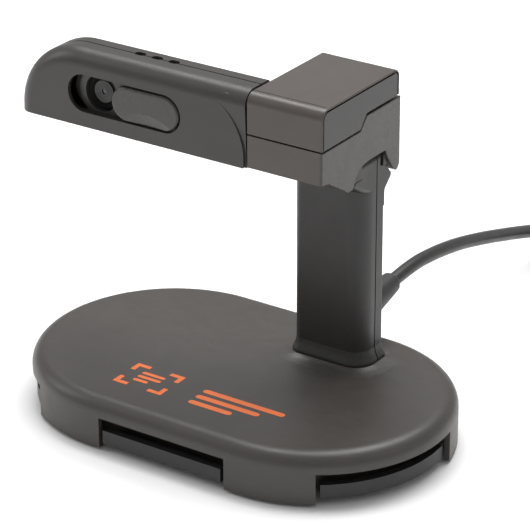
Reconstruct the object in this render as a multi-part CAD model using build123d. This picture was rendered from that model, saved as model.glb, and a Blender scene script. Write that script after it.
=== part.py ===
"""Desktop document camera: a stadium-shaped weighted base, a short post, a fold-up head and a
twisting camera blade with a sliding lens cover.

Frame: millimetres, +X to the right (the blade points to -X), +Y to the back, +Z up. The origin is
the centre of the base's rubber pad, on the surface the camera stands on.
"""
import os
from math import cos, degrees, radians, sin, sqrt, tan
from build123d import *

os.makedirs("parts", exist_ok=True)

# ---- driving dimensions ---------------------------------------------------------------------
# base
base_length = 172.8
base_width = 106.6
base_top = 20.7
skirt_bottom = 1.0
skirt_wall = 2.2
top_wall = 2.4
rim_radius = 6.0
pad_thickness = 2.0
plate_thickness = 2.0
notch_top = 13.4
notch_half_width = 28.1
end_notch_angles = (-57.0, 10.7)
lip_bottom = 3.1
lip_top = 8.6
lip_thickness = 3.0
lip_side_gap = 1.6
lip_end_gap = 3.0
lip_setback = 1.6
channel_width = 8.0
spool_wall = 2.0
ballast_thickness = 5.8

# post
post_width = 30.6
post_depth = 14.8
post_x = 25.3
post_y = 27.2
post_wall = 1.8
post_left_radius = 3.5
post_right_radius = 7.0
post_back_radius = 1.0
foot_bottom = 21.9
foot_rise = 5.6
foot_flare = 1.5
post_seam_y = 29.2
seam_gap = 0.55

# hinge that lets the arm fold up
hinge_x = 38.2
hinge_z = 103.7
pin_radius = 1.0
running_gap = 0.03
bush_radius = 1.45
knuckle_top = 105.7
barrel_radius = 4.35

# head
head_left = 9.9
head_right = 41.9
head_front = -10.1
head_back = 41.9
head_bottom = 107.7
head_top = 136.2
head_wall = 1.8
head_seam_front = 120.5
head_seam_back = 125.6
cap_thickness = 1.0
cap_rim = 0.6
saddle_top = 106.7

# blade
blade_left = -95.4
blade_right = 8.9
blade_back = 6.1
blade_bottom = 106.8
blade_top = 136.4
blade_wall = 1.6
blade_corner_radius = 27.5
blade_edge_radius = 6.0
blade_seam_y = 0.3
twist_y = -2.0
twist_z = 122.3
shaft_radius = 3.5
shaft_bore = 2.3

# lens window and its sliding cover
window_length = 51.4
window_height = 15.0
window_x = -45.3
window_z = 120.2
cover_length = 30.2
cover_height = 13.3
cover_gap = 0.85
cover_proud = 0.4
lens_x = -58.4
lens_front = -4.8
mic_x = -37.4
mic_pitch = 7.6

# cord
cord_diameter = 5.5
cord_x = 26.2
boot_length = 30.8
boot_tilt = 6.7
boot_exit_z = 33.2
coil_center = (67.5, 234.0)
coil_mid_radius = 33.0
coil_width = 4 * cord_diameter
coil_height = 2 * cord_diameter
tie_thickness = 0.9


# ---- helpers --------------------------------------------------------------------------------
def block(xs, ys, zs):
    """Box between two limits on each axis."""
    size = [high - low for low, high in (xs, ys, zs)]
    middle = [(low + high) / 2 for low, high in (xs, ys, zs)]
    return Pos(*middle) * Box(*size)


def rod(axis, radius, low, high, first, second):
    """Cylinder along a frame axis; first and second place it on the other two axes."""
    middle = (low + high) / 2
    if axis == "X":
        return Pos(middle, first, second) * Rot(0, 90, 0) * Cylinder(radius, high - low)
    if axis == "Y":
        return Pos(first, middle, second) * Rot(90, 0, 0) * Cylinder(radius, high - low)
    return Pos(first, second, middle) * Cylinder(radius, high - low)


def ring(axis, outer, inner, low, high, first, second):
    return rod(axis, outer, low, high, first, second) - rod(axis, inner, low, high, first, second)


def prism_yz(face, x_low, x_high):
    """Extrude a face drawn as (y, z) along X."""
    return extrude(Plane.YZ.offset(x_low) * face, amount=x_high - x_low)


def prism_xz(face, y_low, y_high):
    """Extrude a face drawn as (x, z) along Y."""
    plane = Plane((0, y_low, 0), x_dir=(1, 0, 0), z_dir=(0, -1, 0))
    return extrude(plane * face, amount=y_low - y_high)


def stadium(inset, low, high):
    """Solid stadium parallel to the base's outline, inset from it."""
    outline = SlotOverall(base_length - 2 * inset, base_width - 2 * inset)
    return extrude(Pos(0, 0, low) * outline, amount=high - low)


def rounded(points, radii):
    """Face of a polygon whose corners are rounded by the given radii (0 keeps a corner)."""
    face = make_face(Polyline(*points, close=True))
    for point, radius in zip(points, radii):
        if radius:
            corner = face.vertices().sort_by_distance((*point, 0))[0]
            face = fillet(corner, radius)
    return face


def screw(axis, sign, head_at, first, second, head_radius, head_height, shank_radius, length):
    """Pan-head screw with a cross recess; its outer face is at head_at, the shank goes towards sign."""
    low, high = sorted((head_at, head_at + sign * head_height))
    tip = head_at + sign * (head_height + length)
    shank = sorted((head_at + sign * head_height / 2, tip))
    body = rod(axis, head_radius, low, high, first, second) + rod(axis, shank_radius, *shank, first, second)
    place = {"Y": Pos(first, head_at, second) * Rot(90, 0, 0), "Z": Pos(first, second, head_at)}[axis]
    long, short = 1.2 * head_radius, 0.3 * head_radius
    return body - place * Box(long, short, head_height) - place * Box(short, long, head_height)


def group(solids):
    return Compound(children=[Compound(solid.wrapped) for solid in solids])


end_radius = base_width / 2
end_center = base_length / 2 - end_radius


def end_sector(side, angles, inner, outer, low, high):
    """Ring sector about the centre of one rounded end; side is +1 (right) or -1 (left)."""
    start, stop = (radians(angle) for angle in angles)
    middle = (start + stop) / 2
    sweep_angles = (start, middle, stop)
    corners = [(radius * cos(a), radius * sin(a)) for radius in (inner, outer) for a in sweep_angles]
    inner_arc = ThreePointArc(*corners[:3])
    outer_arc = ThreePointArc(*corners[3:])
    sides = [Line(corners[0], corners[3]), Line(corners[2], corners[5])]
    sector = extrude(Pos(0, 0, low) * make_face([inner_arc, outer_arc, *sides]), amount=high - low)
    sector = Pos(end_center, 0, 0) * sector
    return sector if side > 0 else mirror(sector, Plane.YZ)


# ---- base -----------------------------------------------------------------------------------
channel_inset = skirt_wall + channel_width
spool_inset = channel_inset + spool_wall
plate_bottom = pad_thickness
plate_top = plate_bottom + plate_thickness
ballast_inset = spool_inset + 1.6
ballast_bottom = plate_top + 0.2
ballast_top = ballast_bottom + ballast_thickness
screw_places = [(x, y) for x in (-52.0, 52.0) for y in (-26.0, 26.0)]
boss_radius = 3.2
flange_half = (13.5, 9.6)
flange_thickness = 2.5
flange_holes = [(post_x + x, post_y + y - 2.0) for x in (-10.5, 10.5) for y in (-6.5, 6.5)]


def foot_section(offset, z):
    """The post's own outline with its larger front corners, offset outwards."""
    half_x = post_width / 2 + offset
    half_y = post_depth / 2 + offset
    corners = [(-half_x, -half_y), (half_x, -half_y), (half_x, half_y), (-half_x, half_y)]
    front_radii = [post_left_radius + offset, post_right_radius + offset]
    radii = front_radii + [post_back_radius + offset] * 2
    return Pos(post_x, post_y, z) * rounded(corners, radii)


def base_shell():
    shell = stadium(0, skirt_bottom, base_top)
    shell = fillet(shell.edges().group_by(Axis.Z)[-1], rim_radius)
    mound_steps = [(9.0, -0.4), (6.4, 0.12), (4.2, 0.45), (2.6, 0.95),
                   (foot_flare + 0.5, foot_bottom - base_top)]
    shell += loft([foot_section(offset, base_top + rise) for offset, rise in mound_steps])
    hollow = stadium(skirt_wall, skirt_bottom, base_top - top_wall)
    hollow -= stadium(channel_inset, skirt_bottom, base_top - top_wall)
    shell -= hollow
    shell -= stadium(spool_inset, skirt_bottom, base_top - top_wall)
    shell -= stadium(channel_inset - 0.2, skirt_bottom, plate_top)
    for x, y in screw_places:
        shell += rod("Z", boss_radius, plate_top, base_top - top_wall / 2, x, y)
        shell -= rod("Z", 1.15, plate_top, base_top - top_wall - 2, x, y)
    front_wall = (-base_width, -base_width / 2 + skirt_wall + 0.1)
    shell -= block((-notch_half_width, notch_half_width), front_wall, (0, notch_top))
    for side in (1, -1):
        inner = end_radius - skirt_wall - 0.1
        shell -= end_sector(side, end_notch_angles, inner, end_radius + 5, 0, notch_top)
    throat_y = (post_y - 5.6, post_y + 5.2)
    return shell - block((post_x - 11, post_x + 11), throat_y, (base_top - 4, foot_bottom + 1))


def base_plate():
    plate = stadium(channel_inset, plate_bottom, plate_top)
    lip_half = notch_half_width - lip_side_gap
    outer = -base_width / 2 + 0.3
    inner = -base_width / 2 + channel_inset + 3
    plate += block((-lip_half, lip_half), (outer, inner), (lip_bottom, plate_top))
    plate += block((-lip_half, lip_half), (outer, outer + lip_thickness), (lip_bottom, lip_top))
    side_gap = degrees(lip_end_gap / end_radius)
    rim = end_radius - 0.3
    angles = (end_notch_angles[0] + side_gap, end_notch_angles[1] - side_gap)
    for side in (1, -1):
        arm = end_sector(side, angles, end_radius - channel_inset - 3, rim, lip_bottom, plate_top)
        lip = end_sector(side, angles, rim - lip_thickness, rim, lip_bottom, lip_top)
        plate += Pos(-side * lip_setback, 0, 0) * (arm + lip)
    for x, y in screw_places:
        plate -= rod("Z", 1.5, plate_bottom, plate_top, x, y)
        plate -= rod("Z", 2.8, plate_bottom, plate_bottom + 1.1, x, y)
    return plate


def anti_slip_pad():
    return stadium(channel_inset + 3.5, 0, pad_thickness)


def ballast_plate():
    slab = stadium(ballast_inset, ballast_bottom, ballast_top)
    slab = chamfer(slab.edges().group_by(Axis.Z)[-1], 0.8)
    for x, y in screw_places:
        slab -= rod("Z", boss_radius + 0.4, ballast_bottom, ballast_top, x, y)
    for x, y in flange_holes:
        slab -= rod("Z", 1.25, ballast_bottom, ballast_top, x, y)
    return slab


def base_screws():
    return group([screw("Z", 1, plate_bottom + 0.05, x, y, 2.7, 1.0, 1.14, 9.0) for x, y in screw_places])


# ---- post -----------------------------------------------------------------------------------
post_right = post_x + post_width / 2
post_left = post_x - post_width / 2
post_front = post_y - post_depth / 2
post_back = post_y + post_depth / 2
knuckle_front = 13.0
knuckle_back = 33.2
knuckle_step = 97.9
pin_block_left = 34.4
bush_front = 18.9
bush_back = knuckle_back
harness_x = 19.7
harness_y = post_back - 4.7
post_screw_heights = (52.0, 78.0)
spine_top = 89.8


def knuckle():
    """Widened top of the post that fills the head's saddle and carries the hinge pin."""
    outline = [(knuckle_front, knuckle_step), (knuckle_front, knuckle_top), (knuckle_back, knuckle_top),
               (knuckle_back, 100.4), (35.5, 99.8), (37.1, 98.2), (39.3, 95.6), (38.6, 94.2),
               (post_back - 0.05, 90.4), (post_back - 0.05, 84.0), (post_front + 8, 84.0),
               (post_front + 8, 90.0), (post_front, 93.6)]
    radii = [0.6, 6.4, 0.8, 0, 0, 0, 1.2, 1.6, 3.0, 0, 0, 0, 0.6]
    body = prism_yz(rounded(outline, radii), post_left, post_right)
    side_edges = body.edges().filter_by_position(Axis.Z, knuckle_step + 0.5, knuckle_top + 1)
    side_edges = side_edges.filter_by_position(Axis.Y, 0, knuckle_back - 0.1)
    side_edges = [edge for edge in side_edges if abs(edge.center().X - post_x) > post_width / 2 - 0.01]
    body = fillet(side_edges, 2.3)
    front_swing = [(0, 10.0), (4.6, 10.0), (4.6, 18.8), (0, 18.8)]
    body -= swing_clearance(front_swing)
    back_swing = [(0, bush_back - 0.2), (4.5, bush_back - 0.2), (4.6, 34.2), (5.0, 35.5), (6.3, 37.1), (8.5, 39.1),
                  (9.7, 42.0), (0, 42.0)]
    return body - swing_clearance(back_swing)


def swing_clearance(profile):
    """Solid swept by the head's end wall; the profile holds (radius, y) about the hinge pin."""
    face = make_face(Polyline(*profile, close=True))
    return Pos(hinge_x, 0, hinge_z) * revolve(face, Axis.Y)


def post_body():
    """Both post shells as one thick-walled piece, before they are parted at the seam."""
    column = extrude(foot_section(0, foot_bottom + foot_rise - 0.01), amount=88.0 - foot_bottom - foot_rise)
    column += extrude(foot_section(0, 87.9), amount=6.0) & block((0, 60), (0, 60), (80, 93.4))
    flare_steps = [(foot_flare, 0), (foot_flare * 0.94, 1.3), (foot_flare * 0.5, 2.7),
                   (foot_flare * 0.18, 4.1), (0, foot_rise)]
    column += loft([foot_section(offset, foot_bottom + rise) for offset, rise in flare_steps])
    column += knuckle()
    inner_x = (post_left + post_wall, post_right - post_wall)
    inner_y = (post_front + post_wall, post_back - post_wall)
    column -= block(inner_x, (post_front + 4, inner_y[1]), (foot_bottom - 1, 90.0))
    column -= block((post_left + 5, post_right - 5), inner_y, (foot_bottom - 1, 90.0))
    column -= block((inner_x[0], pin_block_left), (20.5, 33.0), (89.9, knuckle_top - 1.8))
    column -= block((inner_x[0] + 1, pin_block_left), (15.6, 20.6), (99.5, knuckle_top - 1.8))
    column -= block((25.6, 31.4), (17.4, 23.6), (knuckle_top - 3, knuckle_top + 1))
    column -= rod("Y", bush_radius, 0, 60, hinge_x, hinge_z)
    return column


def post_front_shell(body):
    shell = body & block((0, 60), (0, post_seam_y - seam_gap / 2), (0, 120))
    for z in post_screw_heights:
        shell += rod("Y", 2.6, post_front + 0.9, post_front + 3.4, post_x, z)
        shell -= rod("Y", 1.1, post_front + 1.2, post_front + 4, post_x, z)
    return shell


def post_back_shell(body):
    shell = body & block((0, 60), (post_seam_y + seam_gap / 2, 60), (0, 120))
    for z in post_screw_heights:
        shell -= rod("Y", 2.4, post_back - 1.1, post_back + 1, post_x, z)
        shell -= rod("Y", 1.2, post_back - 4, post_back, post_x, z)
    return shell - rod("Y", 4.8, post_back - 4, post_back + 1, cord_x, boot_exit_z)


def post_spine():
    """Folded steel channel on a flange: it ties the post to the ballast."""
    low = ballast_top
    flange_y = post_y - 2.0
    flange = block((post_x - flange_half[0], post_x + flange_half[0]),
                   (flange_y - flange_half[1], flange_y + flange_half[1]), (low, low + flange_thickness))
    for x, y in flange_holes:
        flange -= rod("Z", 1.25, low, low + flange_thickness, x, y)
    front = post_front + 3.4
    web = block((post_x - 9, post_x + 9), (front, front + 1.6), (low, spine_top))
    cheeks = [block(xs, (front, front + 5.4), (low, spine_top - 6))
              for xs in ((post_x - 9, post_x - 7.4), (post_x + 7.4, post_x + 9))]
    spine = flange + web + cheeks[0] + cheeks[1]
    for z in post_screw_heights:
        spine -= rod("Y", 1.3, front - 1, front + 3, post_x, z)
    return spine


def spine_screws():
    top = ballast_top + flange_thickness
    return group([screw("Z", -1, top + 1.8, x, y, 2.5, 1.8, 1.24, 6.5) for x, y in flange_holes])


def post_screws():
    outer = post_back - 0.2
    return group([screw("Y", -1, outer, post_x, z, 2.2, 0.9, 1.09, 11.6) for z in post_screw_heights])


def hinge_bush():
    return ring("Y", bush_radius, pin_radius + running_gap, bush_front, bush_back, hinge_x, hinge_z)


def stop_pad():
    """Thin rubber buffer on the knuckle: the folded-down head rests on it."""
    return block((16.0, 22.0), (23.0, 31.0), (knuckle_top, saddle_top - 0.05))


def post_harness():
    """Inner cable: from the boot up the channel to the knuckle's cable hole."""
    route = FilletPolyline((cord_x, harness_y, boot_exit_z), (harness_x, harness_y, boot_exit_z + 7),
                           (harness_x, harness_y, 90.0), (28.2, 22.4, 97.0), (28.4, 22.2, 104.6), radius=2.4)
    return sweep(Plane(route @ 0, z_dir=route % 0) * Circle(1.3), route)


def cable_clamp():
    """Saddle that clamps the inner cable against the spine."""
    clamp = block((harness_x - 1.7, harness_x + 3.2), (harness_y - 1.9, harness_y + 2.4), (43.0, 47.0))
    return clamp - rod("Z", 1.3, 40, 50, harness_x, harness_y)


# ---- cord, boot and plug --------------------------------------------------------------------
boot_direction = Vector(0, cos(radians(boot_tilt)), sin(radians(boot_tilt)))
boot_start = Vector(cord_x, post_back, boot_exit_z)
boot_end = boot_start + boot_direction * boot_length
cord_seat = 6.0


def cable_boot():
    taper = [(0, 0), (6.6, 0), (6.2, 9.0), (5.2, 20.0), (4.2, boot_length - 1.2), (3.3, boot_length),
             (0, boot_length)]
    sleeve = revolve(make_face(Polyline(*taper, close=True)), Axis.Y)
    sleeve -= Pos(0, boot_length, 0) * Rot(90, 0, 0) * Cylinder(cord_diameter / 2, 2 * cord_seat)
    boot = Pos(*boot_start) * Rot(boot_tilt, 0, 0) * sleeve
    boot &= block((0, 60), (post_back, 90), (0, 60))
    boot += rod("Y", 4.7, post_back - 3.1, post_back + 0.1, cord_x, boot_exit_z)
    return boot + rod("Y", 6.4, post_back - 3.1, post_back - post_wall - 0.1, cord_x, boot_exit_z)


cord_start = boot_end - boot_direction * cord_seat
coil_x, coil_y = coil_center
cord_route = [tuple(cord_start), tuple(boot_end + boot_direction * 12.5), (26.3, 96.0, 36.8),
              (26.2, 115.5, 33.4), (26.0, 136.0, 28.0), (25.9, 157.0, 21.8), (26.1, 178.0, 15.3),
              (26.5, 197.0, 9.0), (26.6, 212.0, 4.7), (26.4, 222.5, 3.0), (26.3, 232.0, 2.75)]
tail_route = [(108.6, 238.0, 8.2), (108.9, 228.0, 7.8), (108.9, 218.0, 5.9), (108.8, 208.0, 4.0),
              (108.8, 198.0, 4.0)]


def corner_radii(points):
    """Largest tangent arcs: 0.45 of the shorter run over the tangent of half the turn."""
    radii = []
    for before, here, after in zip(points, points[1:], points[2:]):
        run_in = Vector(*here) - Vector(*before)
        run_out = Vector(*after) - Vector(*here)
        half_turn = radians(run_in.get_angle(run_out) / 2)
        radii.append(0.45 * min(run_in.length, run_out.length) / tan(half_turn))
    return radii


def cord_tube(points):
    bend_radii = corner_radii(points)
    print("cord bend radii", [round(radius) for radius in bend_radii])
    path = FilletPolyline(*points, radius=bend_radii)
    return sweep(Plane(path @ 0, z_dir=path % 0) * Circle(cord_diameter / 2), path)


def cord_coil():
    """The spare cord, laid up as one ring of two layers of turns."""
    outline = RectangleRounded(coil_width, coil_height, 2.7)
    face = Plane.XZ * Pos(coil_mid_radius, coil_height / 2) * outline
    return Pos(coil_x, coil_y, 0) * revolve(face, Axis.Z) - cord_tie()


def cord_tie():
    """Strap round the coil at its back."""
    outer = RectangleRounded(coil_width + 2 * tie_thickness, coil_height + tie_thickness, 3.0)
    inner = RectangleRounded(coil_width, coil_height - tie_thickness, 2.2)
    band = extrude(Plane.YZ * (outer - inner), amount=4.5, both=True)
    return Pos(coil_x, coil_y + coil_mid_radius, (coil_height + tie_thickness) / 2) * band


plug_x = 108.8
plug_z = 4.0
plug_back = 202.0
plug_seat = plug_back - 33.0
plug_tip = plug_seat - 15.0


def plug_grip():
    """Moulded USB plug body with its short tapered strain relief."""
    grip = block((plug_x - 7.8, plug_x + 7.8), (plug_seat - 3, plug_seat + 21), (0, 8.0))
    grip = fillet(grip.edges().filter_by(Axis.Y), 1.6)
    wide = Plane((plug_x, plug_seat + 20.8, plug_z), x_dir=(1, 0, 0), z_dir=(0, 1, 0))
    narrow = Plane((plug_x, plug_back, plug_z), x_dir=(1, 0, 0), z_dir=(0, 1, 0))
    grip += loft([wide * RectangleRounded(9.6, 7.2, 2.4), narrow * RectangleRounded(7.2, 7.2, 3.4)])
    for step in range(5):
        groove_y = plug_seat + 6 + 2.2 * step
        for x in (plug_x - 7.8, plug_x + 7.8):
            grip -= block((x - 0.4, x + 0.4), (groove_y, groove_y + 1.0), (1.5, 6.5))
    grip -= rod("Y", cord_diameter / 2, plug_back - 4, plug_back + 1, plug_x, plug_z)
    socket_z = (plug_z - 2.25, plug_z + 2.25)
    return grip - block((plug_x - 6, plug_x + 6), (plug_seat - 4, plug_seat), socket_z)


def plug_shell():
    shell = block((plug_x - 6, plug_x + 6), (plug_tip, plug_seat), (plug_z - 2.25, plug_z + 2.25))
    hollow_z = (plug_z - 1.95, plug_z + 1.95)
    shell -= block((plug_x - 5.7, plug_x + 5.7), (plug_tip - 1, plug_seat - 1), hollow_z)
    for x in (plug_x - 2.9, plug_x + 2.9):
        shell -= block((x - 1.2, x + 1.2), (plug_tip + 5, plug_tip + 7.4), (plug_z, plug_z + 3))
    return shell


def plug_tongue():
    return block((plug_x - 5.6, plug_x + 5.6), (plug_tip + 1, plug_seat - 1), (plug_z + 0.1, plug_z + 1.9))


# ---- head -----------------------------------------------------------------------------------
seam_half = 0.33
cap_groove = 0.75
cap_left = head_right - cap_thickness
seam_step = (15.4, 19.6)
head_screw_places = [(16.0, 26.0), (34.0, 28.0), (31.5, 0.0)]


def lower_profile():
    """Side profile of the head's lower half: two ears, the saddle between them and the stepped seam."""
    low = head_seam_front - seam_half
    high = head_seam_back - 2 * seam_half
    points = [(head_front, head_bottom), (-5.5, 107.0), (7.9, 98.9), (10.8, 99.0), (12.3, 102.8),
              (14.6, 105.1), (18.0, 106.3), (22.3, saddle_top), (32.9, saddle_top), (34.1, 104.0),
              (39.1, 97.0), (41.0, 95.8),
              (head_back + 1.0, 98.2), (head_back + 0.9, high), (seam_step[1], high), (seam_step[0], low),
              (head_front, low)]
    radii = [0, 3.0, 1.0, 1.0, 1.5, 2.0, 5.0, 8.0, 0.4, 1.5, 1.0, 1.2, 3.0, 0, 1.0, 1.0, 0]
    return rounded(points, radii)


def upper_profile(inset):
    """Side profile of the head's upper half; inset moves every side inwards except the seam."""
    low = head_seam_front + seam_half
    high = head_seam_back + seam_half
    front = head_front + inset
    back = head_back - inset
    top = head_top - inset
    points = [(front, low), (front, top), (back, top), (back, high), (seam_step[1], high),
              (seam_step[0], low)]
    return rounded(points, [0, 4.0 - inset, max(3.0 - inset, 0.4), 0, 1.0, 1.0])


def twist_bore(radius, low, high):
    return rod("X", radius, low, high, twist_y, twist_z)


def head_top_cover():
    cover = prism_yz(upper_profile(0), head_left, head_right)
    rim = [edge for edge in cover.edges() if edge.center().X > head_right - 0.01
           and (edge.center().Y < head_front + 0.01 or edge.center().Z > head_seam_back + 1)]
    cover = fillet(rim, 0.6)
    groove = (head_front + 4.4, head_front + 4.75)
    cover -= block((head_left - 1, cap_left - 0.5), groove, (head_top - 0.35, head_top + 1))
    cover -= prism_yz(upper_profile(head_wall), head_left + head_wall, cap_left - 1.6)
    cover -= prism_yz(upper_profile(cap_rim), cap_left - 0.1, head_right + 1)
    for x, y in head_screw_places:
        cover += rod("Z", 2.4, head_seam_front + 6, head_top - head_wall / 2, x, y)
        cover -= rod("Z", 0.9, head_seam_front + 5, head_top - 4, x, y)
    return cover - twist_bore(4.6, head_left - 1, head_left + 4)


def head_bottom_cover():
    cover = prism_yz(lower_profile(), head_left, cap_left - 0.1)
    inner_x = (head_left + head_wall, cap_left - 1.7)
    cover -= block(inner_x, (head_front + head_wall, seam_step[0] - 1.8), (head_bottom - 0.2, 130))
    cover -= block(inner_x, (seam_step[0] - 2, head_back - 1.4), (head_bottom - 0.2, 130))
    above = prism_yz(upper_profile(0), head_left, head_right)
    for x, y in head_screw_places:
        cover += rod("Z", 2.6, head_bottom - 1, head_seam_front + 5.9, x, y) - above
        cover -= rod("Z", 1.1, 90, 130, x, y)
        cover -= rod("Z", 2.0, 90, head_bottom + 1.2, x, y)
    cover -= block((25.8, 31.2), (17.6, 23.4), (saddle_top - 1, head_bottom + 1))
    cover -= rod("Y", pin_radius, 4.5, 41.5, hinge_x, hinge_z)
    return cover - twist_bore(4.6, head_left - 1, head_left + 4)


def hinge_barrels():
    """Two half-round pieces on the ears that fill the knuckle's turning space round the pin."""
    barrels = [rod("Y", barrel_radius, *ys, hinge_x, hinge_z) & block((0, 40.7), ys, (90, saddle_top))
               for ys in ((11.0, 18.6), (33.3, 36.0))]
    ears = prism_yz(lower_profile(), head_left, head_right)
    return group([barrel - ears - rod("Y", pin_radius, 4.5, 41.5, hinge_x, hinge_z) for barrel in barrels])


def head_upper_end_cap():
    return prism_yz(upper_profile(cap_rim + cap_groove), cap_left - 0.1, head_right - 0.1)


def head_lower_end_cap():
    cap = prism_yz(lower_profile(), cap_left - 0.1, head_right)
    outer = [edge for edge in cap.edges() if edge.center().X > head_right - 0.01]
    return chamfer(outer, 0.25)


def hinge_pin():
    return chamfer(rod("Y", pin_radius, 4.5, 41.5, hinge_x, hinge_z).edges(), 0.2)


def head_screws():
    low = head_bottom + 0.1
    return group([screw("Z", 1, low, x, y, 1.9, 1.1, 0.89, 15.0) for x, y in head_screw_places])


def twist_bush():
    bore = shaft_radius + running_gap
    bush = ring("X", 4.6, bore, head_left, head_left + head_wall, twist_y, twist_z)
    return bush + ring("X", 5.8, bore, head_left + head_wall, head_left + 3.0, twist_y, twist_z)


def friction_washer():
    low = head_left + 3.0
    return ring("X", 5.6, shaft_radius + 0.1, low, low + 0.8, twist_y, twist_z)


def head_harness():
    route = FilletPolyline((20.5, twist_y, twist_z), (26.0, 4.0, 120.0), (28.4, 20.5, 114.0),
                           (28.4, 20.5, 107.4), radius=3.0)
    return sweep(Plane(route @ 0, z_dir=route % 0) * Circle(1.3), route)


# ---- blade ----------------------------------------------------------------------------------
blade_screw_places = [(-83.0, 114.5), (-77.5, 128.5), (0.0, 112.6), (0.0, 132.0)]
guide_front = head_front + blade_wall + 0.1
guide_thickness = 1.1
rail_front = guide_front + guide_thickness + 0.1
travel = window_length - cover_length - 2 * cover_gap
cover_x = window_x + window_length / 2 - cover_gap - cover_length / 2
flange_right = blade_right - head_wall - 0.1
shaft_left = flange_right - 4.0
shaft_right = head_left + 8.6
board_front = 2.3
board_thickness = 1.2


def blade_outline(inset, corner):
    """Front view of the blade: a long bar whose upper left corner is one big arc."""
    left, right = blade_left + inset, blade_right - inset
    low, high = blade_bottom + inset, blade_top - inset
    points = [(left, low), (right, low), (right, high), (left, high)]
    return rounded(points, [corner, 0, 0, blade_corner_radius - inset])


def blade_solid(inset, edge_radius, y_low, y_high):
    """Blade body; its soft rounding runs along the front edge, over the top and down the end."""
    body = prism_xz(blade_outline(inset, 0), y_low, y_high)
    front = [edge for edge in body.edges() if abs(edge.center().Y - y_low) < 0.01
             and edge.center().Z > blade_bottom + 3 and edge.center().X < blade_right - inset - 0.5]
    return fillet(front, edge_radius) & prism_xz(blade_outline(inset, max(1.4 - inset, 0.3)), y_low, y_high)


def swoosh():
    """Pocket at the blade's right end: a curved ridge bounds it and it deepens downwards."""
    ridge = ThreePointArc((-4.4, 131.5), (2.7, 125.6), (7.6, 105.0))
    outline = [ridge, Polyline((7.6, 105.0), (12, 105.0), (12, 140), (-4.4, 140), (-4.4, 131.5))]
    pocket = prism_xz(make_face(outline), head_front - 4, head_front)
    return Pos(0, head_front + 0.55, 119) * Rot(2.6, 0, 0) * Pos(0, -head_front, -119) * pocket


def blade_cavity():
    cavity = blade_solid(blade_wall, blade_edge_radius - 1.5, head_front + blade_wall, blade_back - blade_wall)
    return cavity & block((-100, blade_right - head_wall), (-20, 20), (100, 140))


def window(grow, y_low, y_high):
    outline = Pos(window_x, window_z) * SlotOverall(window_length + 2 * grow, window_height + 2 * grow)
    return prism_xz(outline, y_low, y_high)


def mic_holes():
    hole = extrude(Pos(mic_x, 0.9, 130) * SlotOverall(4.6, 2.9), amount=10)
    return [Pos(step * mic_pitch, 0, 0) * hole for step in (-1, 0, 1)]


def blade_body():
    body = blade_solid(0, blade_edge_radius, head_front, blade_back)
    back = [edge for edge in body.edges() if abs(edge.center().Y - blade_back) < 0.01
            and edge.center().X < blade_right - 0.5]
    body = fillet(back, 1.3)
    body -= blade_cavity()
    body -= swoosh()
    body -= mic_holes()
    body += [rod("Y", 2.3, head_front + 1, blade_back - 1, x, z) for x, z in blade_screw_places]
    return body - twist_bore(shaft_radius, -5, 20)


def blade_front_shell(body):
    shell = body & block((-100, 20), (-20, blade_seam_y - seam_gap / 2), (100, 140))
    shell -= window(0, head_front - 1, head_front + blade_wall + 0.1)
    rails = [(blade_bottom + blade_wall - 0.2, 112.6), (128.2, blade_top - blade_wall + 0.2)]
    for zs in rails:
        shell += block((-71.5, -14.0), (rail_front, rail_front + 1.2), zs)
    for x, z in blade_screw_places:
        shell -= rod("Y", 0.9, head_front + 2.5, blade_back, x, z)
    return shell


def blade_back_shell(body):
    shell = body & block((-100, 20), (blade_seam_y + seam_gap / 2, 20), (100, 140))
    for x, z in blade_screw_places:
        shell -= rod("Y", 1.1, -2, blade_back + 1, x, z)
        shell -= rod("Y", 2.0, blade_back - 1.3, blade_back + 1, x, z)
    return shell


def blade_screws():
    outer = blade_back - 0.3
    return group([screw("Y", -1, outer, x, z, 1.9, 1.0, 0.89, 8.4) for x, z in blade_screw_places])


def twist_shaft():
    """Hollow shaft: its flange is held in the blade, its tube turns in the head."""
    shaft = rod("X", shaft_radius, shaft_left, shaft_right, twist_y, twist_z)
    shaft += rod("X", 5.9, flange_right - 1.8, flange_right, twist_y, twist_z)
    return shaft - rod("X", shaft_bore, shaft_left - 1, shaft_right + 1, twist_y, twist_z)


def shaft_collar():
    low = head_left + 3.9
    return ring("X", 5.8, shaft_radius, low, low + 2.0, twist_y, twist_z)


def camera_board():
    board = block((-71.0, -18.0), (board_front, board_front + board_thickness), (111.0, 130.4))
    for x, z in ((-69.0, 113.0), (-20.0, 128.4)):
        board -= rod("Y", 0.9, 0, 10, x, z)
    return board


def board_chips():
    """Processor, memory and the ribbon's socket on the board."""
    places = [(-36.0, 122.0, 9.0, 9.0, 1.0), (-26.0, 125.5, 6.0, 5.0, 0.9), (-24.0, 115.0, 4.0, 7.0, 1.6)]
    return group([block((x - w / 2, x + w / 2), (board_front - d, board_front), (z - h / 2, z + h / 2))
                  for x, z, w, h, d in places])


def image_sensor():
    half = 4.1
    face_y = board_front - 0.9
    return block((lens_x - half, lens_x + half), (face_y, board_front), (window_z - half, window_z + half))


def ir_filter():
    return block((lens_x - 3.6, lens_x + 3.6), (0.4, 0.9), (window_z - 3.6, window_z + 3.6))


def lens_holder():
    """Square mount on the board with the threaded collar that holds the lens barrel."""
    holder = block((lens_x - 8, lens_x + 8), (-1.2, board_front), (window_z - 8, window_z + 8))
    holder += rod("Y", 7.2, -3.2, -1.2, lens_x, window_z)
    holder -= rod("Y", 5.9, -4, 0, lens_x, window_z)
    holder -= block((lens_x - 3.6, lens_x + 3.6), (-1, 0.9), (window_z - 3.6, window_z + 3.6))
    return holder - block((lens_x - 4.4, lens_x + 4.4), (0.9, board_front), (window_z - 4.3, window_z + 4.3))


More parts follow.
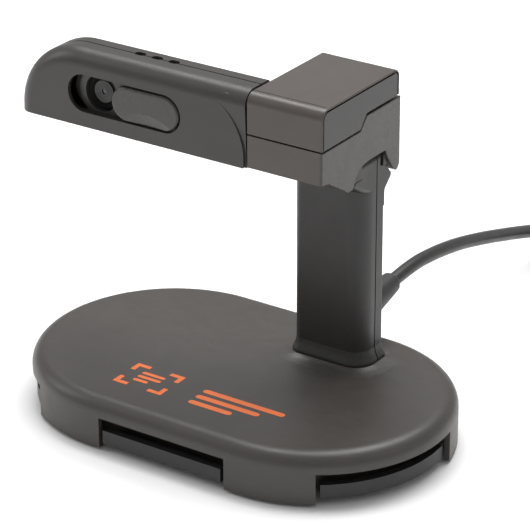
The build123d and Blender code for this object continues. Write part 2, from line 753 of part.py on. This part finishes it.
def lens_barrel():
    barrel = rod("Y", 5.9, lens_front + 1.4, 0.0, lens_x, window_z)
    barrel += rod("Y", 6.6, lens_front, lens_front + 1.4, lens_x, window_z)
    barrel -= Pos(lens_x, lens_front + 0.5, window_z) * Rot(90, 0, 0) * Cone(4.4, 5.4, 1.01)
    barrel -= rod("Y", 4.4, lens_front + 0.8, lens_front + 2.2, lens_x, window_z)
    return barrel - rod("Y", 2.6, lens_front + 1.8, 1, lens_x, window_z)


def lens_glass():
    cap = Pos(lens_x, lens_front + 11.4, window_z) * Sphere(10.6)
    return rod("Y", 4.4, lens_front + 0.8, lens_front + 2.2, lens_x, window_z) & cap


def lens_baffle():
    """Grooved disc in front of the glass; light enters through its small pupil."""
    front = lens_front + 0.4
    disc = ring("Y", 4.35, 1.1, front, front + 0.35, lens_x, window_z)
    for radius in (1.9, 2.8, 3.7):
        disc -= ring("Y", radius + 0.15, radius - 0.15, front - 1, front + 0.15, lens_x, window_z)
    return disc


def lens_bezel():
    """Moulded tray behind the window, stepped round the lens."""
    tray = prism_xz(Pos(window_x, window_z) * SlotOverall(window_length + 1.2, 17.0), -4.2, -3.5)
    step = Pos(lens_x, window_z) * Circle(10.0) & Pos(lens_x, window_z) * Rectangle(20, 16.4)
    step = prism_xz(step, -5.9, -4.1)
    tray = tray + step
    return tray - rod("Y", 7.3, -6, -3, lens_x, window_z)


def microphone():
    return rod("Z", 2.2, 131.4, 134.2, mic_x, -0.6)


def blade_harness():
    ribbon = block((-22.0, shaft_left - 0.1), (-0.9, -0.4), (twist_z - 4.0, twist_z + 0.6))
    lead = rod("X", 1.3, shaft_left - 0.6, shaft_right - 0.6, twist_y + 0.6, twist_z)
    return ribbon + lead


# ---- sliding lens cover ---------------------------------------------------------------------
scoop_sphere = 80.0
scoop_arc = 21.4
scoop_top = 118.0


def lens_cover():
    """Thumb slider: a soft-edged oval with a scooped grip along its lower half."""
    outline = Pos(cover_x, window_z) * SlotOverall(cover_length, cover_height)
    cover = prism_xz(outline, head_front - cover_proud, guide_front)
    face_edges = [edge for edge in cover.edges() if edge.center().Y < head_front - cover_proud + 0.01]
    cover = fillet(face_edges, 0.9)
    stand_off = sqrt(scoop_sphere ** 2 - scoop_arc ** 2)
    face_y = head_front - cover_proud
    return cover - Pos(cover_x + 0.5, face_y - stand_off, scoop_top - scoop_arc) * Sphere(scoop_sphere)


def cover_guide():
    """Plate behind the cover that runs between the front wall and the rails."""
    ys = (guide_front, guide_front + guide_thickness)
    plate = block((cover_x - 12.5, cover_x + 12.5), ys, (111.2, 129.6))
    return fillet(plate.edges().filter_by(Axis.Y), 1.5)


def detent_spring():
    """Thin steel leaf on the guide plate that clicks into the tray at each end of the travel."""
    low = guide_front + guide_thickness
    leaf = block((cover_x - 8, cover_x + 8), (low, low + 0.2), (119.4, 121.4))
    return leaf + block((cover_x + 6, cover_x + 8), (low, low + 0.7), (119.4, 121.4))


# ---- write every sub-part -------------------------------------------------------------------
def build():
    post = post_body()
    blade = blade_body()
    return {
        "base_shell": base_shell(), "base_plate": base_plate(), "anti_slip_pad": anti_slip_pad(),
        "ballast_plate": ballast_plate(), "base_screws": base_screws(),
        "post_front_shell": post_front_shell(post), "post_back_shell": post_back_shell(post),
        "post_spine": post_spine(), "spine_screws": spine_screws(), "post_screws": post_screws(),
        "hinge_bush": hinge_bush(), "stop_pad": stop_pad(), "post_harness": post_harness(),
        "cable_clamp": cable_clamp(), "cable_boot": cable_boot(),
        "usb_cord": cord_tube(cord_route), "cord_coil": cord_coil(), "cord_tie": cord_tie(),
        "cord_tail": cord_tube(tail_route),
        "plug_grip": plug_grip(), "plug_shell": plug_shell(), "plug_tongue": plug_tongue(),
        "head_top_cover": head_top_cover(), "head_bottom_cover": head_bottom_cover(),
        "head_upper_end_cap": head_upper_end_cap(), "head_lower_end_cap": head_lower_end_cap(),
        "hinge_barrels": hinge_barrels(), "hinge_pin": hinge_pin(), "head_screws": head_screws(), "twist_bush": twist_bush(),
        "friction_washer": friction_washer(), "head_harness": head_harness(),
        "blade_front_shell": blade_front_shell(blade), "blade_back_shell": blade_back_shell(blade),
        "blade_screws": blade_screws(), "twist_shaft": twist_shaft(), "shaft_collar": shaft_collar(),
        "camera_board": camera_board(), "board_chips": board_chips(), "image_sensor": image_sensor(),
        "ir_filter": ir_filter(), "lens_holder": lens_holder(), "lens_barrel": lens_barrel(),
        "lens_glass": lens_glass(), "lens_baffle": lens_baffle(), "lens_bezel": lens_bezel(),
        "microphone": microphone(),
        "blade_harness": blade_harness(), "lens_cover": lens_cover(), "cover_guide": cover_guide(),
        "detent_spring": detent_spring(),
    }


for name, shape in build().items():
    export_step(shape, f"parts/{name}.step")
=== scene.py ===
from math import cos, pi, radians, sin

import bmesh
import bpy
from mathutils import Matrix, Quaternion, Vector


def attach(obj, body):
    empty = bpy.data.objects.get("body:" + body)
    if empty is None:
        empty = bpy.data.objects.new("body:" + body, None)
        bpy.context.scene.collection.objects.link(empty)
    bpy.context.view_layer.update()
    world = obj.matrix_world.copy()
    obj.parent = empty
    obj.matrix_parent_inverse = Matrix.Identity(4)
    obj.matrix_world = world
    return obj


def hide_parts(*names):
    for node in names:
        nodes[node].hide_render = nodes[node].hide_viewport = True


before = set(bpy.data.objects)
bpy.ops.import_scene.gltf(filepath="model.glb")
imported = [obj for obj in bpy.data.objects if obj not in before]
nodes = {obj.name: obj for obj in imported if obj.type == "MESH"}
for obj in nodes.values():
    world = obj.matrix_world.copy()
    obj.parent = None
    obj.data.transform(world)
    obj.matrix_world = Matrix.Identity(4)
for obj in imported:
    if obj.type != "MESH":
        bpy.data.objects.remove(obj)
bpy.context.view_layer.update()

scene = bpy.context.scene
MM = 0.001


# ---- camera -----------------------------------------------------------------------------------
AZIMUTH = radians(34.0)
ELEVATION = radians(25.2)
ROLL = radians(-0.2)
DISTANCE = 1060 * MM
AIM = Vector((-2.66, 19.65, 53.99)) * MM
FOCAL_LENGTH = 190.2
SENSOR_WIDTH = 36

sight = Vector((-sin(AZIMUTH) * cos(ELEVATION), cos(AZIMUTH) * cos(ELEVATION), -sin(ELEVATION)))
camera = bpy.data.objects.new("camera", bpy.data.cameras.new("camera"))
scene.collection.objects.link(camera)
camera.location = AIM - sight * DISTANCE
camera.rotation_mode = "QUATERNION"
camera.rotation_quaternion = sight.to_track_quat("-Z", "Y") @ Quaternion((0, 0, 1), ROLL)
camera.data.sensor_width = SENSOR_WIDTH
camera.data.lens = FOCAL_LENGTH
camera.data.clip_start = 0.05
camera.data.clip_end = 20
scene.camera = camera
scene.view_settings.view_transform = "Standard"


# ---- node helpers -----------------------------------------------------------------------------
class Tree:
    """Small wrapper that builds one material's node tree."""

    def __init__(self, name):
        self.material = bpy.data.materials.new(name)
        self.material.use_nodes = True
        self.nodes = self.material.node_tree.nodes
        self.links = self.material.node_tree.links
        self.shader = self.nodes["Principled BSDF"]
        self.coords = self.nodes.new("ShaderNodeTexCoord").outputs["Object"]

    def noise(self, scale, detail=3.0, roughness=0.55, stretch=None):
        node = self.nodes.new("ShaderNodeTexNoise")
        node.inputs["Scale"].default_value = scale
        node.inputs["Detail"].default_value = detail
        node.inputs["Roughness"].default_value = roughness
        source = self.coords
        if stretch:
            mapping = self.nodes.new("ShaderNodeMapping")
            mapping.inputs["Scale"].default_value = stretch
            self.links.new(source, mapping.inputs["Vector"])
            source = mapping.outputs["Vector"]
        self.links.new(source, node.inputs["Vector"])
        return node.outputs["Fac"]

    def spread(self, value, low, high):
        """Maps the middle of a noise to a range."""
        node = self.nodes.new("ShaderNodeMapRange")
        node.inputs["From Min"].default_value = 0.3
        node.inputs["From Max"].default_value = 0.7
        node.inputs["To Min"].default_value = low
        node.inputs["To Max"].default_value = high
        self.links.new(value, node.inputs["Value"])
        return node.outputs["Result"]

    def colours(self, value, first, second, low=0.35, high=0.65):
        """Blends from the first colour to the second between two places on the value."""
        node = self.nodes.new("ShaderNodeValToRGB")
        node.color_ramp.elements[0].position = low
        node.color_ramp.elements[0].color = (*first, 1)
        node.color_ramp.elements[1].position = high
        node.color_ramp.elements[1].color = (*second, 1)
        self.links.new(value, node.inputs["Fac"])
        return node.outputs["Color"]

    def bump(self, layers):
        """layers: (height output, distance in metres), stacked one on the other."""
        normal = None
        for height, distance in layers:
            node = self.nodes.new("ShaderNodeBump")
            node.inputs["Strength"].default_value = 1.0
            node.inputs["Distance"].default_value = distance
            self.links.new(height, node.inputs["Height"])
            if normal:
                self.links.new(normal, node.inputs["Normal"])
            normal = node.outputs["Normal"]
        self.links.new(normal, self.shader.inputs["Normal"])

    def set(self, **values):
        """Sets plain numbers on the shader; underscores in a name stand for spaces."""
        for name, value in values.items():
            self.shader.inputs[name.replace("_", " ")].default_value = value


def shade(colour, factor):
    return tuple(channel * factor for channel in colour)


def moulded(name, colour, roughness, grain=2600, depth=0.00002, spread=0.05, specular=0.5):
    """Injection-moulded plastic: fine spark-eroded grain, faint cloudiness and handling marks."""
    tree = Tree(name)
    tint = tree.colours(tree.noise(55, 4, 0.6), shade(colour, 0.96), shade(colour, 1.04))
    tree.links.new(tint, tree.shader.inputs["Base Color"])
    marks = tree.noise(140, 5, 0.65, (1.0, 1.6, 1.0))
    tree.links.new(tree.spread(marks, roughness - spread, roughness + spread),
                   tree.shader.inputs["Roughness"])
    tree.bump([(tree.noise(70, 2), depth * 1.2), (tree.noise(grain, 2, 0.6), depth)])
    tree.set(Specular_IOR_Level=specular)
    return tree.material


def rubbery(name, colour, roughness, depth=0.00002):
    """Matt rubber or soft jacket with dusty specks and a faint sheen."""
    tree = Tree(name)
    dust = tree.noise(420, 6, 0.7)
    tint = tree.colours(dust, shade(colour, 0.85), shade(colour, 1.2))
    tree.links.new(tint, tree.shader.inputs["Base Color"])
    tree.links.new(tree.spread(tree.noise(200, 4), roughness - 0.06, roughness + 0.06),
                   tree.shader.inputs["Roughness"])
    tree.bump([(tree.noise(1500, 3), depth)])
    tree.set(Sheen_Weight=0.08)
    return tree.material


def metal(name, colour, roughness, stretch, depth):
    """Bare metal; stretch draws its grain out along an axis."""
    tree = Tree(name)
    grain = tree.noise(900, 4, 0.6, stretch)
    tint = tree.colours(tree.noise(90, 4), shade(colour, 0.86), colour)
    tree.links.new(tint, tree.shader.inputs["Base Color"])
    tree.links.new(tree.spread(grain, roughness - 0.06, roughness + 0.08), tree.shader.inputs["Roughness"])
    tree.bump([(grain, depth)])
    tree.set(Metallic=1.0)
    return tree.material


# ---- materials --------------------------------------------------------------------------------
base_plastic = moulded("base_plastic", (0.055, 0.049, 0.045), 0.40, 1700, 0.00004)
# The post's colour is made much darker than the base's as painted shade: the shade the head casts on the
# post is painted into it.
post_plastic_painted_shade = moulded("post_plastic_painted_shade", (0.026, 0.024, 0.023), 0.38, 1700, 0.000035)
head_plastic = moulded("head_plastic", (0.078, 0.067, 0.060), 0.34, depth=0.000012)
blade_plastic = moulded("blade_plastic", (0.044, 0.040, 0.038), 0.38, 1700, 0.00004)
slider_plastic = moulded("slider_plastic", (0.056, 0.052, 0.048), 0.28, depth=0.000010)
inner_plastic = moulded("inner_plastic", (0.006, 0.006, 0.006), 0.60, specular=0.12)
tray_plastic = moulded("tray_plastic", (0.058, 0.055, 0.053), 0.32)
baffle_plastic = moulded("baffle_plastic", (0.070, 0.067, 0.065), 0.45, depth=0.000008)
plate_plastic = moulded("plate_plastic", (0.022, 0.021, 0.021), 0.45)
gloss_plastic = moulded("gloss_plastic", (0.030, 0.027, 0.026), 0.18, depth=0.000003, spread=0.03,
                        specular=0.4)
lower_cap_plastic = moulded("lower_cap_plastic", (0.048, 0.042, 0.039), 0.26, depth=0.000008)
pad_rubber = rubbery("pad_rubber", (0.022, 0.022, 0.022), 0.75, 0.00005)
boot_rubber = rubbery("boot_rubber", (0.018, 0.0175, 0.017), 0.50)
jacket = rubbery("cord_jacket", (0.017, 0.0165, 0.016), 0.40, 0.000008)
iron = metal("ballast_iron", (0.20, 0.20, 0.20), 0.55, (1, 1, 1), 0.00006)
sheet_steel = metal("sheet_steel", (0.55, 0.55, 0.56), 0.32, (1, 1, 0.05), 0.000006)
screw_steel = metal("screw_steel", (0.22, 0.22, 0.23), 0.30, (1, 1, 1), 0.000006)
nickel = metal("nickel_plate", (0.72, 0.71, 0.68), 0.20, (1, 0.06, 1), 0.000004)


def board_material():
    """Solder mask over copper tracks."""
    tree = Tree("circuit_board")
    cells = tree.nodes.new("ShaderNodeTexVoronoi")
    cells.distance = "CHEBYCHEV"
    cells.inputs["Scale"].default_value = 620
    tree.links.new(tree.coords, cells.inputs["Vector"])
    tracks = cells.outputs["Distance"]
    tree.links.new(tree.colours(tracks, (0.012, 0.075, 0.035), (0.02, 0.13, 0.055), 0.3, 0.4),
                   tree.shader.inputs["Base Color"])
    tree.links.new(tree.spread(tree.noise(400), 0.28, 0.38), tree.shader.inputs["Roughness"])
    tree.bump([(tracks, 0.00002)])
    return tree.material


def coated_glass(name, face, edge):
    """Dark coated optics: the reflected tint changes towards the rim."""
    tree = Tree(name)
    facing = tree.nodes.new("ShaderNodeLayerWeight")
    facing.inputs["Blend"].default_value = 0.35
    tint = tree.colours(facing.outputs["Facing"], face, edge, 0.1, 0.9)
    tree.links.new(tint, tree.shader.inputs["Base Color"])
    tree.links.new(tree.spread(tree.noise(300), 0.02, 0.05), tree.shader.inputs["Roughness"])
    tree.set(Coat_Weight=0.4, Coat_Roughness=0.02, Specular_IOR_Level=0.6)
    return tree.material


def print_material():
    """Silk-screened orange ink, a little thinner over the grain."""
    tree = Tree("orange_print")
    speckle = tree.noise(3000, 2)
    ink = tree.colours(speckle, (0.76, 0.150, 0.032), (0.88, 0.190, 0.042))
    tree.links.new(ink, tree.shader.inputs["Base Color"])
    tree.links.new(tree.spread(tree.noise(500), 0.42, 0.52), tree.shader.inputs["Roughness"])
    tree.bump([(speckle, 0.00001)])
    return tree.material


board = board_material()
chip = moulded("chip_package", (0.02, 0.02, 0.022), 0.35, 3500)
ribbon = moulded("flat_ribbon", (0.32, 0.17, 0.05), 0.30, depth=0.000003)
lens_coating = coated_glass("lens_coating", (0.010, 0.010, 0.022), (0.06, 0.045, 0.09))
filter_coating = coated_glass("filter_coating", (0.09, 0.03, 0.04), (0.05, 0.08, 0.10))
orange = print_material()

finish_of = {
    base_plastic: ["base_shell"],
    post_plastic_painted_shade: ["post_front_shell", "post_back_shell", "hinge_barrels"],
    head_plastic: ["head_top_cover", "head_bottom_cover"],
    blade_plastic: ["blade_front_shell", "blade_back_shell"],
    slider_plastic: ["lens_cover"],
    plate_plastic: ["base_plate", "cable_clamp", "plug_tongue", "cover_guide", "friction_washer"],
    inner_plastic: ["lens_holder", "lens_barrel"],
    tray_plastic: ["lens_bezel"],
    baffle_plastic: ["lens_baffle"],
    gloss_plastic: ["head_upper_end_cap"],
    lower_cap_plastic: ["head_lower_end_cap"],
    pad_rubber: ["anti_slip_pad", "stop_pad"],
    boot_rubber: ["cable_boot", "cord_tie", "plug_grip"],
    jacket: ["usb_cord", "cord_coil", "cord_tail", "post_harness", "head_harness"],
    iron: ["ballast_plate"],
    sheet_steel: ["post_spine", "hinge_bush", "twist_bush"],
    screw_steel: ["base_screws", "spine_screws", "post_screws", "head_screws", "blade_screws"],
    nickel: ["hinge_pin", "twist_shaft", "shaft_collar", "plug_shell", "microphone", "detent_spring"],
    board: ["camera_board"],
    chip: ["board_chips", "image_sensor"],
    ribbon: ["blade_harness"],
    lens_coating: ["lens_glass"],
    filter_coating: ["ir_filter"],
}
for material, names in finish_of.items():
    for name in names:
        for material_slot in nodes[name].material_slots:
            material_slot.material = material


# ---- cord -------------------------------------------------------------------------------------
CORD = 5.5 * MM
BOOT_LENGTH = 30.8
BOOT_TILT = radians(6.7)
BOOT_END = Vector((26.2, 34.6 + BOOT_LENGTH * cos(BOOT_TILT), 33.2 + BOOT_LENGTH * sin(BOOT_TILT))) * MM
INSIDE_BOOT = 6 * MM
STRAIGHT_OUT = 12.5 * MM

# Free stretches, in millimetres: from the boot down to the coil, and from the coil to the plug.
DROP = ((26.3, 96.0, 36.8), (26.2, 115.5, 33.4), (26.0, 136.0, 28.0), (25.9, 157.0, 21.8),
        (26.1, 178.0, 15.3), (26.5, 197.0, 9.0), (26.6, 212.0, 4.7), (26.4, 222.5, 3.0))
TAIL = ((108.8, 226.0, 7.8), (108.9, 217.0, 5.9), (108.8, 208.0, 4.0), (108.8, 198.0, 4.0))

# The coil is measured in turns from its left side. The cord steps inwards by its own width just before
# it passes the left side, climbs to the upper layer, and steps outwards just after the right side.
COIL_CENTRE = Vector((67.5, 234.0, 0)) * MM
OUTER = 41.25 * MM
TURNS = 7.5
POINTS_A_TURN = 16
STEPS_INWARDS = (1, 2, 3)
CLIMB = (3.55, 3.85)
STEPS_OUTWARDS = (4.5, 5.5, 6.5)
STEP_NEAR = 0.03
STEP_FAR = 0.17


def ease(value, low, high):
    """Smooth rise from 0 at low to 1 at high."""
    share = min(1.0, max(0.0, (value - low) / (high - low)))
    return share * share * (3 - 2 * share)


def coil_point(turn):
    """Clockwise from the left side: the lower layer winds inwards, the upper one outwards."""
    radius = OUTER - CORD * sum(ease(turn, step - STEP_FAR, step - STEP_NEAR) for step in STEPS_INWARDS)
    radius += CORD * sum(ease(turn, step + STEP_NEAR, step + STEP_FAR) for step in STEPS_OUTWARDS)
    angle = pi - 2 * pi * turn
    height = CORD * (0.5 + ease(turn, *CLIMB))
    return COIL_CENTRE + Vector((radius * cos(angle), radius * sin(angle), height))


def cord_route():
    along = Vector((0, cos(BOOT_TILT), sin(BOOT_TILT)))
    route = [BOOT_END - along * INSIDE_BOOT, BOOT_END + along * STRAIGHT_OUT]
    route += [Vector(place) * MM for place in DROP]
    route += [coil_point(step / POINTS_A_TURN) for step in range(int(TURNS * POINTS_A_TURN) + 1)]
    return route + [Vector(place) * MM for place in TAIL]


def cord():
    route = cord_route()
    curve = bpy.data.curves.new("cord", "CURVE")
    curve.dimensions = "3D"
    spline = curve.splines.new("NURBS")
    spline.points.add(len(route) - 1)
    for point, place in zip(spline.points, route):
        point.co = (*place, 1)
    spline.use_endpoint_u = True
    spline.order_u = 3
    spline.resolution_u = 6
    curve.bevel_depth = CORD / 2
    curve.bevel_resolution = 5
    curve.materials.append(jacket)
    piece = bpy.data.objects.new("cord", curve)
    scene.collection.objects.link(piece)
    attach(piece, "stand")
    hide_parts("usb_cord", "cord_coil", "cord_tail")


cord()


# ---- printed pictogram on the base: a page in a viewfinder, with plain bars beside it -----------
# Sizes are in millimetres. A line of the page is (y, right end), from the page's middle; a bar is
# (y, length), from x = 0.
INK_TOP = 20.75 * MM
PAGE_X, PAGE_Y = -22.4, -28.8
BRACKET_X, BRACKET_Y = 10.0, 7.4
BRACKET_LENGTH, BRACKET_HEIGHT, BRACKET_WIDTH = 6.4, 5.4, 2.0
LINE_LEFT = -5.2
LINE_HALF = 0.9
LINES = ((3.0, 5.2), (0, 5.2), (-3.0, 1.4))
BAR_HALF = 1.35
BARS = ((-25.2, 36), (-30.0, 28), (-34.8, 19))


def rounded_corner(centre, radius, first):
    """Points of a quarter turn, 15 degrees apart; first is its starting angle in degrees."""
    angles = [radians(first + step * 15) for step in range(7)]
    return [(centre[0] + radius * cos(a), centre[1] + radius * sin(a)) for a in angles]


def bracket(corner, sx, sy, length, height, width):
    """L-shaped viewfinder corner as one outline; sx and sy point away from the middle."""
    half = width / 2
    outline = [(0, 0), (-length, 0), (-length, -width), (-width, -width), (-width, -height), (0, -height)]
    return [(corner[0] + sx * (x + half), corner[1] + sy * (y + half)) for x, y in outline]


def bar(low, high):
    """Rounded bar between two opposite corners."""
    radius = (high[1] - low[1]) / 2
    middle = (low[1] + high[1]) / 2
    right, left = (high[0] - radius, middle), (low[0] + radius, middle)
    return (rounded_corner(right, radius, -90) + rounded_corner(right, radius, 0)[1:]
            + rounded_corner(left, radius, 90) + rounded_corner(left, radius, 180)[1:])


def pictogram():
    """Flat ink outlines at the height of the base's top face."""
    outlines = []
    for sx in (-1, 1):
        for sy in (-1, 1):
            corner = (PAGE_X + sx * BRACKET_X, PAGE_Y + sy * BRACKET_Y)
            outlines.append(bracket(corner, sx, sy, BRACKET_LENGTH, BRACKET_HEIGHT, BRACKET_WIDTH))
    for y, right in LINES:
        low = (PAGE_X + LINE_LEFT, PAGE_Y + y - LINE_HALF)
        high = (PAGE_X + right, PAGE_Y + y + LINE_HALF)
        outlines.append(bar(low, high))
    for y, length in BARS:
        outlines.append(bar((0, y - BAR_HALF), (length, y + BAR_HALF)))
    mesh = bmesh.new()
    for outline in outlines:
        face = mesh.faces.new([mesh.verts.new((x * MM, y * MM, INK_TOP)) for x, y in outline])
        face.normal_update()
        if face.normal.z < 0:
            face.normal_flip()
    return mesh


def print_on_base():
    mesh = pictogram()
    data = bpy.data.meshes.new("base_pictogram")
    mesh.to_mesh(data)
    mesh.free()
    data.materials.append(orange)
    piece = bpy.data.objects.new("base_pictogram", data)
    scene.collection.objects.link(piece)
    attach(piece, "stand")


# ---- surroundings -----------------------------------------------------------------------------
FLOOR_HALF = 6
FLOOR_DROP = 0.2 * MM
WORLD_STRENGTH = 0.42


def floor():
    """Plain pale sheet, a hair below the pad so that the two don't share a plane."""
    mesh = bmesh.new()
    bmesh.ops.create_grid(mesh, x_segments=1, y_segments=1, size=FLOOR_HALF)
    data = bpy.data.meshes.new("floor")
    mesh.to_mesh(data)
    mesh.free()
    piece = bpy.data.objects.new("floor", data)
    scene.collection.objects.link(piece)
    piece.location.z = -FLOOR_DROP
    tree = Tree("floor_paper")
    tree.links.new(tree.colours(tree.noise(4), (0.93, 0.93, 0.93), (0.95, 0.95, 0.95)),
                   tree.shader.inputs["Base Color"])
    tree.set(Roughness=0.9, Specular_IOR_Level=0.1)
    data.materials.append(tree.material)


def area_light(name, place, target, size, power):
    """Soft rectangular light, in metres and watts, that faces its target."""
    light = bpy.data.objects.new(name, bpy.data.lights.new(name, "AREA"))
    scene.collection.objects.link(light)
    light.data.shape = "RECTANGLE"
    light.data.size, light.data.size_y = size
    light.data.energy = power
    light.location = place
    light.rotation_mode = "QUATERNION"
    light.rotation_quaternion = (Vector(target) - Vector(place)).to_track_quat("-Z", "Y")


def studio():
    world = bpy.data.worlds.new("studio")
    scene.world = world
    world.use_nodes = True
    background = world.node_tree.nodes["Background"]
    background.inputs["Color"].default_value = (1.0, 1.0, 1.0, 1)
    background.inputs["Strength"].default_value = WORLD_STRENGTH
    area_light("overhead", (-0.2, 0.5, 1.5), target=(0, 0, 0.05), size=(1.4, 1.0), power=31)
    area_light("side", (1.5, 0.2, 0.9), target=(0, 0, 0.08), size=(0.5, 0.7), power=0.6)
    area_light("left", (-1.3, -0.5, 0.8), target=(0, 0, 0.08), size=(0.6, 0.8), power=4)


print_on_base()
floor()
studio()
